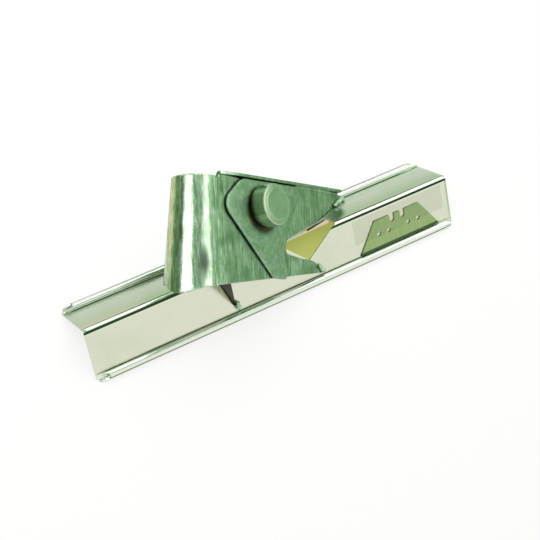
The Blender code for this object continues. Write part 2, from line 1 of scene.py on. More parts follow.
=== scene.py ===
import math
import bpy
import bmesh
import numpy as np
from mathutils import Euler, Matrix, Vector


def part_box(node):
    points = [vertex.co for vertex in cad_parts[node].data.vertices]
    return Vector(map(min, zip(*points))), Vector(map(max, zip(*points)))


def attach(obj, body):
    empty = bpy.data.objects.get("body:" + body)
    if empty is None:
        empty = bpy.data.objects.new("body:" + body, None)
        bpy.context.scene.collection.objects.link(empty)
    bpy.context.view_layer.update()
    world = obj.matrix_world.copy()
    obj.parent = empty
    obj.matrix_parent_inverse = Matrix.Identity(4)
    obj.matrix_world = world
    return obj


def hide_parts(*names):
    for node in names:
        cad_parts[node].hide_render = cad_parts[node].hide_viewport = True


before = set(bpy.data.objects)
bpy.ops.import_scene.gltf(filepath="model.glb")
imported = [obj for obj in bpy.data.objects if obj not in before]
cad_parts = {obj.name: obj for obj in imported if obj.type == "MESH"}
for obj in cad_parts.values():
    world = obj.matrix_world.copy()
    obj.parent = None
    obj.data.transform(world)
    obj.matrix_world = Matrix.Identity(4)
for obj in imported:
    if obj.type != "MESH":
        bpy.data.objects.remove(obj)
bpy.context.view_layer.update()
mm = 0.001
print("frame loaded:", len(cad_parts), "solids")


# small helpers

def linearColor(hexText):
    # sRGB hex to the linear values that the shader wants
    srgb = np.array([int(hexText[i:i + 2], 16) for i in (1, 3, 5)]) / 255
    linear = np.where(srgb <= 0.04045, srgb / 12.92, ((srgb + 0.055) / 1.055) ** 2.4)
    return (*linear.tolist(), 1.0)


def newObject(name, data):
    item = bpy.data.objects.new(name, data)
    bpy.context.scene.collection.objects.link(item)
    return item


def gridPatch(points, facing, share=0.5):
    # a two-parameter grid of points as (vertices, quads); the quad at that share of the list faces that way
    rows, columns = points.shape[:2]
    index = np.arange(rows * columns).reshape(rows, columns)
    quads = np.stack([index[:-1, :-1], index[1:, :-1], index[1:, 1:], index[:-1, 1:]], -1).reshape(-1, 4)
    flat = points.reshape(-1, 3)
    corner = flat[quads[int(share * len(quads))]]
    normal = np.cross(corner[2] - corner[0], corner[3] - corner[1])
    if np.dot(normal, facing) < 0:
        quads = quads[:, ::-1]
    return flat, quads


def newPiece(name, patches, merge=2e-6):
    # patches share their edges, so equal points are merged and slivers dropped
    vertices, faces, start = [], [], 0
    for flat, quads in patches:
        vertices.append(flat)
        faces.append(quads + start)
        start += len(flat)
    mesh = bpy.data.meshes.new(name)
    mesh.from_pydata(np.concatenate(vertices).tolist(), [], np.concatenate(faces).tolist())
    shape = bmesh.new()
    shape.from_mesh(mesh)
    bmesh.ops.remove_doubles(shape, verts=shape.verts, dist=merge)
    bmesh.ops.dissolve_degenerate(shape, edges=shape.edges, dist=merge)
    shape.to_mesh(mesh)
    shape.free()
    return newObject(name, mesh)


def addModifier(piece, kind, **settings):
    modifier = piece.modifiers.new(kind.lower(), kind)
    for field, value in settings.items():
        setattr(modifier, field, value)


def bakeModifiers(piece, sharpAngle):
    # the modifiers become the mesh, and edges over the angle stay crisp
    graph = bpy.context.evaluated_depsgraph_get()
    mesh = bpy.data.meshes.new_from_object(piece.evaluated_get(graph))
    piece.modifiers.clear()
    old = piece.data
    piece.data = mesh
    bpy.data.meshes.remove(old)
    mesh.name = piece.name
    mesh.shade_smooth()
    mesh.set_sharp_from_angle(angle=math.radians(sharpAngle))


def thicken(piece, sheet, even=False):
    addModifier(piece, "SOLIDIFY", thickness=sheet * mm, offset=-1, use_even_offset=even, use_quality_normals=even)


def cutWith(piece, cutter):
    addModifier(piece, "BOOLEAN", operation="DIFFERENCE", solver="EXACT", object=cutter)


def softenEdges(piece, width, limit, sharpAngle, segments=2):
    # edges over the limit angle are beveled, and large faces keep their flat shading
    addModifier(piece, "BEVEL", width=width * mm, segments=segments, limit_method="ANGLE",
                angle_limit=math.radians(limit))
    addModifier(piece, "WEIGHTED_NORMAL", keep_sharp=True)
    bakeModifiers(piece, sharpAngle)


def makeCutter(name, prisms):
    # closed prisms, each between two equal rings of points, as one hidden cutting body
    shape = bmesh.new()
    for low, high in prisms:
        count = len(low)
        corners = [shape.verts.new(point) for point in np.concatenate([low, high])]
        shape.faces.new(corners[:count])
        shape.faces.new(corners[count:])
        for i in range(count):
            j = (i + 1) % count
            shape.faces.new([corners[i], corners[j], corners[j + count], corners[i + count]])
    bmesh.ops.recalc_face_normals(shape, faces=shape.faces)
    mesh = bpy.data.meshes.new(name)
    shape.to_mesh(mesh)
    shape.free()
    cutter = newObject(name, mesh)
    cutter.hide_render = True
    return cutter


def finishPiece(piece, body, material, *nodes):
    piece.data.materials.clear()
    piece.data.materials.append(material)
    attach(piece, body)
    if nodes:
        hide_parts(*nodes)
    return piece


def resample(points, count):
    # even steps of length along a polyline
    points = np.asarray(points, float)
    length = np.concatenate([[0], np.cumsum(np.linalg.norm(np.diff(points, axis=0), axis=1))])
    at = np.linspace(0, length[-1], count)
    return np.stack([np.interp(at, length, points[:, k]) for k in range(points.shape[1])], -1)


def between(first, second, share):
    # straight mix of two point rows, share along a new middle axis
    share = np.asarray(share)[None, :, None]
    return first[:, None, :] * (1 - share) + second[:, None, :] * share


# datum lines of the tool, in millimetres

rail = dict(length=254.0, sheet=1.0, flange=33.3, ridgeRadius=2.8, bead=4.8, nearWrap=285.0, farWrap=299.0,
            scarf=7.5, clip=1.5, edge=0.14)
railLow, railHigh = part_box("rail")
ridgePoint = np.array([0, (railLow.y + railHigh.y) / 2 / mm,
                       railHigh.z / mm + rail["ridgeRadius"] * (math.sqrt(2) - 1)])
diag = math.sqrt(0.5)
clearance = 0.3

bed = dict(foot=15.0, skew=45.0, slope=40.0, turn=28.0)
screw = dict(across=15.6, along=33.6, diameter=6.0)


def bedAxes():
    skew, slope, turn = (math.radians(bed[k]) for k in ("skew", "slope", "turn"))
    edge = np.array([math.cos(skew), math.sin(skew), 0])
    climb = np.array([-math.sin(skew) * math.cos(slope), math.cos(skew) * math.cos(slope), math.sin(slope)])
    across = edge * math.cos(turn) + climb * math.sin(turn)
    along = climb * math.cos(turn) - edge * math.sin(turn)
    return across, along, np.cross(across, along)


acrossAxis, alongAxis, outAxis = bedAxes()
bedOrigin = ridgePoint + np.array([bed["foot"], 0, 0])


def bedToWorld(across, along, out):
    # across the strip, up the strip and out of its face, to metres in the tool's frame
    across, along, out = np.broadcast_arrays(across, along, out)
    return (bedOrigin + across[..., None] * acrossAxis + along[..., None] * alongAxis
            + out[..., None] * outAxis) * mm


def flangeToWorld(side, down, place, out):
    # down a flange from the sharp ridge, along the rail, and out of the face
    down, place, out = np.broadcast_arrays(down, place, out)
    y = side * diag * (down + out)
    z = diag * (out - down)
    return (np.stack([place, y, z], -1) + ridgePoint) * mm


print("datum: ridge at", ridgePoint.round(3).tolist(), "mm")


# materials

def fillInputs(tree, node, inputs):
    # an output of another node is linked, anything else is set on the socket
    for socket, value in inputs.items():
        if isinstance(value, bpy.types.NodeSocket):
            tree.links.new(value, node.inputs[socket])
        else:
            node.inputs[socket].default_value = value


def addNode(tree, kind, settings, inputs):
    node = tree.nodes.new(kind)
    for field, value in settings.items():
        setattr(node, field, value)
    fillInputs(tree, node, inputs)
    return node


def newMaterial(name):
    material = bpy.data.materials.new(name)
    material.use_nodes = True
    tree = material.node_tree
    return material, tree, tree.nodes["Principled BSDF"]


def objectSpace(tree):
    return addNode(tree, "ShaderNodeTexCoord", {}, {}).outputs["Object"]


def mapped(tree, vector, change):
    return addNode(tree, "ShaderNodeMapping", {}, {"Vector": vector, **change}).outputs["Vector"]


def splitAxis(tree, vector, axis):
    return addNode(tree, "ShaderNodeSeparateXYZ", {}, {"Vector": vector}).outputs[axis]


def noise(tree, vector, size, detail, roughness=0.5):
    # size in millimetres; coordinates that are stretched already take a size of 1000
    return addNode(tree, "ShaderNodeTexNoise", {}, {"Vector": vector, "Scale": 1000 / size, "Detail": detail,
                                                    "Roughness": roughness}).outputs["Fac"]


def fade(tree, value, span, to=(0.0, 1.0), unit=mm, easing="LINEAR"):
    # the first of the pair up to the span's start, the second from its end on
    return addNode(tree, "ShaderNodeMapRange", {"interpolation_type": easing}, {
        "Value": value, "From Min": span[0] * unit, "From Max": span[1] * unit, "To Min": to[0],
        "To Max": to[1]}).outputs["Result"]


def combine(tree, operation, *terms):
    return addNode(tree, "ShaderNodeMath", {"operation": operation}, dict(enumerate(terms))).outputs["Value"]


def mixTints(tree, share, first, second, blend="MIX"):
    return addNode(tree, "ShaderNodeMix", {"data_type": "RGBA", "blend_type": blend},
                   {"Factor": share, "A": first, "B": second}).outputs["Result"]


def bumpFrom(tree, height, strength, depth):
    return addNode(tree, "ShaderNodeBump", {}, {"Height": height, "Strength": strength,
                                                "Distance": depth * mm}).outputs["Normal"]


def colorRamp(tree, source, stops):
    ramp = addNode(tree, "ShaderNodeValToRGB", {}, {"Fac": source})
    ends = ramp.color_ramp.elements
    for end, (place, tint) in ((ends[0], stops[0]), (ends[1], stops[-1])):
        end.position, end.color = place, linearColor(tint)
    for place, tint in stops[1:-1]:
        ends.new(place).color = linearColor(tint)
    return ramp.outputs["Color"]


def turnTo(*axes):
    return Matrix([list(axis) for axis in axes]).to_euler("XYZ")


stripTurn = turnTo(acrossAxis, alongAxis, outAxis)


def aboutLine(tree, across, along, stretch=(1, 1, 0)):
    # bed coordinates about a line square to the bed, and the distance from that line
    moved = mapped(tree, objectSpace(tree), {"Location": tuple(-bedToWorld(across, along, 0.0))})
    turned = mapped(tree, moved, {"Rotation": stripTurn})
    flat = addNode(tree, "ShaderNodeVectorMath", {"operation": "MULTIPLY"}, {0: turned, 1: stretch})
    reach = addNode(tree, "ShaderNodeVectorMath", {"operation": "LENGTH"}, {0: flat.outputs["Vector"]})
    return turned, reach.outputs["Value"]


def streakedSheet(name, look):
    # plated sheet: short drawn flecks, cloudy tint, slow waves left by the press, a satin shine
    material, tree, shader = newMaterial(name)
    coords = objectSpace(tree)
    turned = mapped(tree, coords, {"Rotation": stripTurn})
    lines = noise(tree, mapped(tree, turned, {"Scale": look["streakScale"]}), 1000, 5.0, 0.6)
    cloud = noise(tree, coords, look["cloudSize"], 4.0)
    waves = combine(tree, "MULTIPLY", noise(tree, coords, look["waveSize"], 1.0), look["waveHeight"])
    height = combine(tree, "MULTIPLY_ADD", lines, look["fleckHeight"], waves)
    tint = mixTints(tree, look["cloudShare"], colorRamp(tree, lines, look["tints"]),
                    colorRamp(tree, cloud, look["clouds"]), "MULTIPLY")
    if "paintedGripSheen" in look:
        # painted sheen: below that line up the strip the plating is multiplied a little darker, so the grip reads
        # brighter as if it caught more light
        gripSheen = look["paintedGripSheen"]
        place = splitAxis(tree, aboutLine(tree, 0.0, 0.0)[0], "Y")
        dull = fade(tree, place, gripSheen["span"], (1.0, 0.0), easing="SMOOTHSTEP")
        tint = mixTints(tree, dull, tint, linearColor(gripSheen["tint"]), "MULTIPLY")
    # painted shade: a dark patch round a line square to the bed, fading out over its span
    if "paintedShade" in look:
        paintedShade = look["paintedShade"]
        reach = aboutLine(tree, *paintedShade["centre"], paintedShade["stretch"])[1]
        paintedShadeMask = fade(tree, reach, paintedShade["span"], (paintedShade["share"], 0.0), easing="SMOOTHSTEP")
        tint = mixTints(tree, paintedShadeMask, tint, linearColor(paintedShade["tint"]))
    fillInputs(tree, shader, {"Base Color": tint, "Roughness": fade(tree, lines, (0.25, 0.75), look["rough"], 1),
                              "Normal": bumpFrom(tree, height, 1.0, 1.0), "Metallic": 1.0})
    return material


# zinc on the handle strip: short bright flecks drawn across it, pale green-grey, satin; one dark patch on the grip is a
# painted reflection
zincStrip = streakedSheet("zinc_plate_drawn_strip", dict(
    streakScale=(110, 820, 820), cloudSize=11, waveSize=16, waveHeight=0.35, fleckHeight=0.045,
    tints=[(0.3, "#8EA68A"), (0.46, "#BCD1B6"), (0.58, "#CAE1C8"), (0.72, "#F6FFFC")],
    clouds=[(0.34, "#C6D6C4"), (0.64, "#FFFFFF")], cloudShare=0.9, rough=(0.17, 0.3),
    paintedGripSheen=dict(span=(60, 80), tint="#E2E2E2"),
    paintedShade=dict(centre=(-19.5, 83.2), stretch=(0.32, 1, 0), span=(0.8, 4.4), share=0.86, tint="#222C1E")))

# zinc on the clamp, stamped then tumbled: cloudy rather than streaked, with a painted shadow about the knob's foot
zincClamp = streakedSheet("zinc_plate_tumbled_clamp", dict(
    streakScale=(520, 560, 520), cloudSize=7, waveSize=20, waveHeight=0.2, fleckHeight=0.012,
    tints=[(0.3, "#84A083"), (0.5, "#90AC8E"), (0.72, "#A9C4AA")],
    clouds=[(0.32, "#CBDDCF"), (0.68, "#FFFFFF")], cloudShare=0.8, rough=(0.32, 0.42),
    # painted shadow: a dark crescent about the knob, offset to its lower left
    paintedShade=dict(centre=(screw["across"] - 2.2, screw["along"] + 0.9), stretch=(1, 1, 0), span=(11.8, 15.6),
              share=0.9, tint="#352E14")))

# zinc on the strut's back: pale and dull
zincStrut = streakedSheet("zinc_plate_sheared_strut", dict(
    streakScale=(90, 500, 500), cloudSize=12, waveSize=14, waveHeight=0.2, fleckHeight=0.02,
    tints=[(0.3, "#D9DBCB"), (0.5, "#E4E5D6"), (0.72, "#EFEFE2")],
    clouds=[(0.32, "#EEEFE6"), (0.68, "#FFFFFF")], cloudShare=0.7, rough=(0.3, 0.4)))

# painted shade: the strut's front and edges, in the shadow under the handle, are a dull dark olive-brown
paintedShadeStrut = streakedSheet("painted_shade_dark_strut", dict(
    streakScale=(200, 500, 500), cloudSize=5, waveSize=14, waveHeight=0.1, fleckHeight=0.03,
    tints=[(0.3, "#181709"), (0.5, "#211F0E"), (0.72, "#302D18")],
    clouds=[(0.32, "#B9B59A"), (0.68, "#FFFFFF")], cloudShare=0.7, rough=(0.45, 0.6)))

# places across the rail are counted from its ridge, far side positive
railLook = dict(
    side=(-2.2, -0.8), foldDarkReflection=(-2.4, 2.4), ridge=(2.1, 2.8), bead=(20.2, 20.8),
    streakScale=(14, 420, 420), cloudSize=24, rough=(0.18, 0.12), lineRough=0.08, paintedHighlightTint="#E0E9DC",
    nearReflectionTints=[(0.32, "#DBDDC8"), (0.5, "#DADDC9"), (0.68, "#D3DAC2")],
    farReflectionTints=[(0.32, "#BCC9B5"), (0.68, "#C2CDBB")],
    foldDarkReflectionTints=[(0.05, "#FFFFFF"), (0.095, "#535C2E"), (0.19, "#2F4A24"), (0.32, "#2F4A24"), (0.365, "#FFFFFF"),
               (0.77, "#FFFFFF"), (0.82, "#7A8448"), (0.89, "#7A8448"), (0.935, "#FFFFFF")])


def rolledRailSteel(look):
    # bright rolled steel with a thin clear passivate; cream on the blade's flange and green on the other is painted
    # reflection of the surroundings
    material, tree, shader = newMaterial("bright_steel_rolled_rail")
    coords = objectSpace(tree)
    place = combine(tree, "SUBTRACT", splitAxis(tree, coords, "Y"), ridgePoint[1] * mm)
    side = fade(tree, place, look["side"])
    cloud = noise(tree, coords, look["cloudSize"], 3.0)
    # painted reflection: cream tints on the near side of the ridge, green tints on the far side
    faces = mixTints(tree, side, colorRamp(tree, cloud, look["nearReflectionTints"]), colorRamp(tree, cloud, look["farReflectionTints"]))
    # the rolled beads and the ridge get a paler tint, a painted highlight that brings their reflections up to white,
    # and are shinier than the faces
    fromRidge = combine(tree, "ABSOLUTE", place)
    ridge = fade(tree, fromRidge, look["ridge"], (1.0, 0.0))
    rolled = combine(tree, "MAXIMUM", ridge, fade(tree, fromRidge, look["bead"]))
    paintedHighlightTint = mixTints(tree, rolled, faces, linearColor(look["paintedHighlightTint"]))
    # painted reflection: dark lines along the fold, wide on the near side and thin on the far side, stand for the dark
    # surround mirrored there
    foldDarkReflection = colorRamp(tree, fade(tree, place, look["foldDarkReflection"]), look["foldDarkReflectionTints"])
    tint = mixTints(tree, 1.0, paintedHighlightTint, foldDarkReflection, "MULTIPLY")
    lines = noise(tree, mapped(tree, coords, {"Scale": look["streakScale"]}), 1000, 4.0)
    dull = fade(tree, rolled, (0, 1), look["rough"], 1)
    fillInputs(tree, shader, {"Base Color": tint, "Normal": bumpFrom(tree, lines, 0.04, 0.2), "Metallic": 1.0,
                              "Roughness": combine(tree, "MULTIPLY_ADD", lines, look["lineRough"], dull)})
    return material


knobLook = dict(rimHighlight=(9.2, 9.9), ringPitch=1.6, cloudSize=5, rough=(0.2, 0.3), paintedShade=(2.4, 5.0), paintedShadeShare=0.85,
                tints=[(0.32, "#98B193"), (0.68, "#A9BFA2")], rimHighlightTint="#ACC0A3", paintedShadeTint="#3F4022")


def turnedKnobSteel(look):
    # turned steel: fine rings about the screw's line; the paler rim is a painted highlight and the darkened foot is
    # painted shade
    material, tree, shader = newMaterial("turned_steel_knob")
    turned, reach = aboutLine(tree, screw["across"], screw["along"])
    rings = addNode(tree, "ShaderNodeTexWave", {"wave_type": "RINGS", "rings_direction": "Z"},
                    {"Vector": turned, "Scale": 1000 / look["ringPitch"], "Distortion": 0.6,
                     "Detail": 2.0}).outputs["Fac"]
    face = colorRamp(tree, noise(tree, objectSpace(tree), look["cloudSize"], 4.0), look["tints"])
    # painted highlight: a paler tint on the rim
    rimHighlighted = mixTints(tree, fade(tree, reach, look["rimHighlight"]), face, linearColor(look["rimHighlightTint"]))
    # painted shade: the knob darkens towards its foot
    foot = fade(tree, splitAxis(tree, turned, "Z"), look["paintedShade"], (look["paintedShadeShare"], 0.0))
    fillInputs(tree, shader, {"Base Color": mixTints(tree, foot, rimHighlighted, linearColor(look["paintedShadeTint"])),
                              "Roughness": fade(tree, rings, (0, 1), look["rough"], 1),
                              "Normal": bumpFrom(tree, rings, 0.05, 0.1), "Metallic": 1.0})
    return material


blade = dict(edge=28.2, width=19.0, edgeLength=61.0, backLength=34.0, sheet=0.6, seat=0.3, bevel=2.0, hole=1.5,
             holePitch=7.5, holeRise=9.5, notchPitch=8.0, notchWidth=3.7, notchDepth=5.0, notchPast=2.0,
             punch=(-1.0, 3.0))
bladeLook = dict(streakScale=(60, 900, 60), bevelFade=0.25, tints=[(0.3, "#8FA86E"), (0.7, "#9DB57C")],
                 bevelTint="#4B5F45")


def groundBladeSteel(look):
    # ground blade steel under an oil film: olive face, dark bevel along the cutting edge
    material, tree, shader = newMaterial("ground_blade_steel")
    moved = mapped(tree, objectSpace(tree), {"Location": tuple(-ridgePoint * mm)})
    turned = mapped(tree, moved, {"Rotation": turnTo((0, -diag, -diag), (1, 0, 0), (0, -diag, diag))})
    bevelLine = blade["edge"] - blade["bevel"]
    edge = fade(tree, splitAxis(tree, turned, "X"), (bevelLine, bevelLine + look["bevelFade"]))
    lines = noise(tree, mapped(tree, turned, {"Scale": look["streakScale"]}), 1000, 4.0)
    tint = mixTints(tree, edge, colorRamp(tree, lines, look["tints"]), linearColor(look["bevelTint"]))
    fillInputs(tree, shader, {"Base Color": tint, "Roughness": 0.28, "Normal": bumpFrom(tree, lines, 0.04, 0.1),
                              "Metallic": 1.0})
    return material


def weldMetal(grainSize):
    # weld metal under plating: small ripples, paler and duller than the sheet
    material, tree, shader = newMaterial("plated_weld_bead")
    grain = noise(tree, objectSpace(tree), grainSize, 4.0)
    tint = colorRamp(tree, grain, [(0.3, "#93AE93"), (0.7, "#CFE2CE")])
    fillInputs(tree, shader, {"Base Color": tint, "Roughness": 0.34, "Normal": bumpFrom(tree, grain, 0.3, 0.2),
                              "Metallic": 1.0})
    return material


def clearTape(hazeSize):
    # thin film tape: nearly clear with a faint green haze
    material, tree, shader = newMaterial("clear_film_tape")
    haze = noise(tree, objectSpace(tree), hazeSize, 3.0)
    tint = colorRamp(tree, haze, [(0.35, "#94A378"), (0.65, "#AAB68F")])
    fillInputs(tree, shader, {"Base Color": tint, "Roughness": 0.3, "IOR": 1.47, "Alpha": 0.05})
    return material


railSteel = rolledRailSteel(railLook)
knobSteel = turnedKnobSteel(knobLook)
bladeSteel = groundBladeSteel(bladeLook)
weldSteel = weldMetal(1.2)
tapeFilm = clearTape(12)
print("materials:", len(bpy.data.materials))


# V rail

mouth = dict(rear=3.0, front=43.0, nearX=20.5, nearY=11.455, farY=8.485, farStart=2.0, farTip=2.0, closing=1.6)


def mouthEdges(y):
    # rear and front edge of the mouth at a distance y from the ridge, far side positive
    start, end, nearX, farY, bend = (mouth[k] for k in ("rear", "front", "nearX", "farY", "farStart"))
    near, far = np.clip(-y / mouth["nearY"], 0, 1), np.clip(y, 0, farY)
    slope = (end - mouth["farTip"] - start - bend) / (farY - bend)
    farRear = start + np.minimum(far, bend) + slope * np.maximum(far - bend, 0)
    rear = np.where(y < 0, start + (nearX - start) * near, farRear)
    front = np.where(y < 0, end + (nearX - end) * near, end)
    # the near end runs to a point and the far end closes on a round, as the punch leaves it
    left = np.clip((farY - y) / mouth["closing"], 0, 1)
    close = np.where(near >= 1, 0, np.sqrt(np.clip(1 - (1 - left) ** 2, 0, 1)))
    middle, half = (rear + front) / 2, (front - rear) / 2
    return middle - half * close, middle + half * close


def railProfile():
    # under face of the sheet: near bead, near flange, ridge, far flange, far bead
    # bead: circle round (down, out) that starts on the flange's under face and turns up by its wrap
    r = rail["bead"] / 2
    sheet, centre, start = rail["sheet"], rail["flange"] - r, rail["ridgeRadius"]
    halves = {}
    for side, edge, wrap in ((1, mouth["farY"], rail["farWrap"]), (-1, mouth["nearY"], rail["nearWrap"])):
        reach = edge / diag
        turn = np.radians(np.linspace(-90, wrap - 90, 44))
        beadDown, beadOut = centre + r * np.cos(turn), r - sheet + r * np.sin(turn)
        flat = np.concatenate([np.linspace(start, reach, 46), np.linspace(reach, centre, 10)[1:-1]])
        down = np.concatenate([flat, beadDown])
        out = np.concatenate([np.full(len(flat), -sheet), beadOut])
        halves[side] = np.stack([side * diag * (down + out), diag * (out - down), side * diag * down, down, out], -1)
    swing = np.radians(np.linspace(-45, 45, 15)[1:-1])
    inner, depth = start - sheet, start / diag
    ridge = np.stack([inner * np.sin(swing), inner * np.cos(swing) - depth, start * np.sin(swing),
                      np.zeros_like(swing), np.full_like(swing, -sheet)], -1)
    return np.concatenate([halves[-1][::-1], ridge, halves[1]])


def buildRail():
    # profile carried along X; each row ends at the bead's scarf and stops at the mouth's edges
    profile = railProfile()
    topOut, midOut = rail["bead"] - rail["sheet"], rail["sheet"] / 2
    rise = np.clip((profile[:, 4] - midOut) / (topOut - midOut), 0, 1)
    clipped = np.clip(profile[:, 3] - (rail["flange"] - rail["clip"]), 0, None)
    end = rail["length"] / 2 - np.maximum(rail["scarf"] * rise, clipped)
    rearEdge, frontEdge = mouthEdges(profile[:, 2])
    patches = []
    for low, high, count in ((-end, rearEdge, 46), (frontEdge, end, 40)):
        share = np.linspace(0, 1, count)
        x = low[:, None] * (1 - share) + high[:, None] * share
        points = np.broadcast_arrays(x, profile[:, 0:1] + ridgePoint[1], profile[:, 1:2] + ridgePoint[2])
        patches.append(gridPatch(np.stack(points, -1) * mm, (0, 0, -1)))
    piece = newPiece("rail_sheet", patches)
    thicken(piece, rail["sheet"], even=True)
    softenEdges(piece, rail["edge"], 50, 50)
    return finishPiece(piece, "frame", railSteel, "rail")


roofBlock = dict(half=170.0, floor=-60.0)


def roofCutter():
    # the roof and its beads grown by the clearance, which trims what stands on the rail
    gap, inner = clearance, rail["flange"] - rail["bead"]
    top = rail["bead"] - rail["sheet"] + gap
    side = np.array([(0, gap), (inner - gap, gap), (inner - gap, top), (rail["flange"] + gap, top)])
    far = np.stack([diag * (side[:, 0] + side[:, 1]), diag * (side[:, 1] - side[:, 0])], -1)
    near = far * (-1, 1)
    apex = np.array([[0, gap / diag]])
    floor = np.array([[far[-1, 0], roofBlock["floor"]], [near[-1, 0], roofBlock["floor"]]])
    loop = np.concatenate([apex, far[1:], floor, near[:0:-1]])
    ends = [(np.column_stack([np.full(len(loop), x), loop]) + ridgePoint) * mm
            for x in (-roofBlock["half"], roofBlock["half"])]
    return makeCutter("roof_cutter", [ends])


railPiece = buildRail()
print("rail:", len(railPiece.data.polygons), "faces")


# handle strip: prongs, bed, fence and palm grip

strip = dict(sheet=1.6, nearRear=32.5, farFront=31.2, farRear=29.4, gripStart=78.0, radiusNear=16.1, radiusFar=11.7,
             wrap=190.0, corner=8.0, throatDepth=11.5, throatWidth=9.2, throatCentre=-6.8, nearFoot=19.5,
             farFoot=11.6, footGap=0.8, fenceHeight=3.3, fenceBend=1.0, fenceKnee=2.2, fenceSetback=6.7,
             fenceEnd=70.0, fenceFall=14.0, fenceTail=0.62, relief=1.2, overrun=2.0, edge=0.18, hole=3.4,
             drill=(-4.0, 3.0))
# how far the grip's near edge spreads, by degrees round the curl
gripSpread = dict(swing=[0, 15, 30, 45, 60, 75, 90, 100, 110, 120, 190],
                  spread=[0, 0.7, 1.7, 2.8, 3.5, 3.6, 2.6, 1.2, -1.2, -2.6, -3.2])
beadInner = rail["flange"] - rail["bead"]


def onFlange(side, down, first=acrossAxis, second=alongAxis, face=outAxis):
    # the point of a plane through the ridge, by its two axes, that lies that far down a flange
    line = np.cross(face, np.array([0, side * diag, diag]))
    line = line * (down / line.dot([0, side * diag, -diag]))
    return np.array([line.dot(first), line.dot(second)])


def runOn(start, through, along):
    share = (along - start[1]) / (through[1] - start[1])
    return start + (through - start) * share


nearCorner = onFlange(-1, beadInner - strip["footGap"])
farCorner = onFlange(1, beadInner - strip["footGap"])


def nearEdge(along):
    share = (along - nearCorner[1]) / (strip["gripStart"] - nearCorner[1])
    return nearCorner[0] + (-strip["nearRear"] - nearCorner[0]) * share


def farEdge(along):
    return strip["farFront"] + (strip["farRear"] - strip["farFront"]) * along / strip["gripStart"]


def curlPoint(across, along, out):
    # past gripStart the strip wraps a cone: radius falls evenly from the near side to the far side
    start, near, far = (strip[k] for k in ("gripStart", "radiusNear", "radiusFar"))
    turn = np.maximum(along - start, 0) / ((near + far) / 2)
    share = (across + strip["nearRear"]) / (strip["farFront"] + strip["nearRear"])
    radius = near + (far - near) * share
    bent = along > start
    place = np.where(bent, start + (radius + out) * np.sin(turn), along)
    rise = np.where(bent, (radius + out) * np.cos(turn) - radius, out)
    return bedToWorld(across, place, rise)


def throatSides():
    # near side: quarter round, straight, then out to its foot; far side: round, then the flare to its foot
    radius, centre, depth = strip["throatWidth"] / 2, strip["throatCentre"], strip["throatDepth"]
    turn = np.radians(np.linspace(90, 180, 14))
    near = np.stack([centre + radius * np.cos(turn), depth - radius + radius * np.sin(turn)], -1)
    bend = np.array([centre - radius, -depth])
    tip = onFlange(-1, beadInner)[1] - strip["overrun"]
    near = np.concatenate([near, [bend, runOn(bend, onFlange(-1, strip["nearFoot"]), tip)]])
    corner = np.array([centre + radius, depth])
    foot = onFlange(1, strip["farFoot"])
    flare = (foot[0] - corner[0]) / (corner[1] - foot[1])
    hub = corner[0] + flare * radius - radius * math.hypot(1, flare)
    turn = np.linspace(math.pi / 2, math.atan(flare), 14)
    far = np.stack([hub + radius * np.cos(turn), depth - radius + radius * np.sin(turn)], -1)
    end = runOn(corner, foot, farCorner[1] - strip["overrun"])
    return near, np.concatenate([[[centre, depth]], far, [end]])


def stripRows():
    # left and right edge of the bed and the curl, with the relief notch behind the fence and round rear corners
    depth, start, corner, fenceEnd = (strip[k] for k in ("throatDepth", "gripStart", "corner", "fenceEnd"))
    middle = (strip["radiusNear"] + strip["radiusFar"]) / 2
    end = start + middle * math.radians(strip["wrap"])
    notch, lip = fenceEnd + strip["relief"], 0.03
    along = np.concatenate([np.linspace(depth, fenceEnd, 34), [fenceEnd + lip, notch - lip],
                            np.linspace(notch, start, 5), np.linspace(start, end - corner, 56)[1:],
                            end - corner * (1 - np.sin(np.radians(np.linspace(0, 90, 14)[1:])))])
    inset = corner - np.sqrt(np.clip(corner ** 2 - np.clip(along - end + corner, 0, None) ** 2, 0, None))
    # the near edge spreads as it goes round the curl and turns back under it
    spread = np.interp(np.degrees((along - start) / middle), gripSpread["swing"], gripSpread["spread"])
    left = np.where(along > start, -strip["nearRear"] - spread, nearEdge(along)) + inset
    right = np.where(along > start, strip["farRear"], farEdge(along)) - inset
    right = right - strip["relief"] * ((along > fenceEnd) & (along < notch))
    return left, right, along


def fencePatch(edge):
    # quarter bend of fenceBend, then straight up to fenceHeight, lower over its last fenceFall
    bendTurn = np.radians(np.linspace(0, 90, 7))
    reach = np.concatenate([strip["fenceBend"] * np.sin(bendTurn), [strip["fenceBend"]] * 2])
    lift = np.concatenate([strip["fenceBend"] * (1 - np.cos(bendTurn)), [strip["fenceKnee"], strip["fenceHeight"]]])
    fall = [strip["fenceEnd"] - strip["fenceFall"], strip["fenceEnd"]]
    tall = np.interp(edge[:, 1:2], fall, [1, strip["fenceTail"]])
    fence = bedToWorld(edge[:, 0:1] + reach, edge[:, 1:2], tall * lift)
    return gridPatch(fence, outAxis * 0.2 - acrossAxis)


def latheAbout(radius, height, swing):
    # (radius, height) grids round the screw's line
    return bedToWorld(screw["across"] + radius * np.cos(swing), screw["along"] + radius * np.sin(swing), height)


